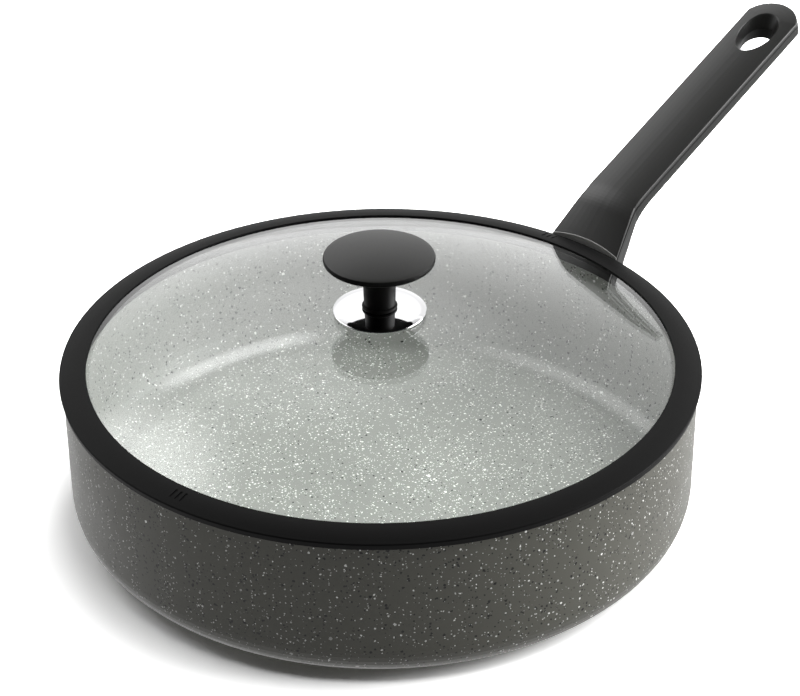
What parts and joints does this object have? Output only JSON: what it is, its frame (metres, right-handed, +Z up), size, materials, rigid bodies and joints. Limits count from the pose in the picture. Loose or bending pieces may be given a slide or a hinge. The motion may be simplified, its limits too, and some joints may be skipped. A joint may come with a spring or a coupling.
{
  "type": "saute pan with lid",
  "caption": "Deep straight-sided saute pan on a flat base, with a long raised handle with a hanging eye, and a domed glass lid in a silicone rim with a disc knob.",
  "frame": {"origin": "centre of the base, on the surface the pan stands on", "axes": "+Z up along the pan's axis, +X along the handle away from the pan"},
  "size_m": [0.4497, 0.2898, 0.15],
  "materials": {
    "pan_coating": "speckled non-stick coating, satin",
    "base_steel": "brushed",
    "bracket_metal": "satin",
    "handle_dark": "soft-touch matte",
    "handle_grey": "satin",
    "screw_steel": "zinc plated",
    "lid_glass": "clear tempered",
    "silicone_black": "satin",
    "knob_black": "matte",
    "knob_steel": "polished",
    "insert_brass": "machined"
  },
  "bodies": {
    "pan": {"pan_body": "pan_coating", "induction_base": "base_steel", "handle_bracket": "bracket_metal", "handle_lower": "handle_grey", "handle_upper": "handle_dark", "handle_washer": "screw_steel", "handle_screw": "screw_steel"},
    "lid_screw": {"knob_screw": "screw_steel"},
    "lid": {"lid_glass": "lid_glass", "lid_rim": "silicone_black", "knob": "knob_black", "knob_insert": "insert_brass", "knob_rose": "knob_steel", "knob_gasket": "silicone_black", "lower_gasket": "silicone_black", "lower_washer": "screw_steel", "spring_washer": "screw_steel"}
  },
  "joints": [
    {"name": "lid_lift", "type": "slide", "parent": "pan", "child": "lid_screw", "axis": [0, 0, 1], "range_m": [0, 0.15]},
    {"name": "lid_turn", "type": "hinge", "parent": "lid_screw", "child": "lid", "pos_m": [0, 0, 0.09], "axis": [0, 0, 1], "continuous": true}
  ]
}
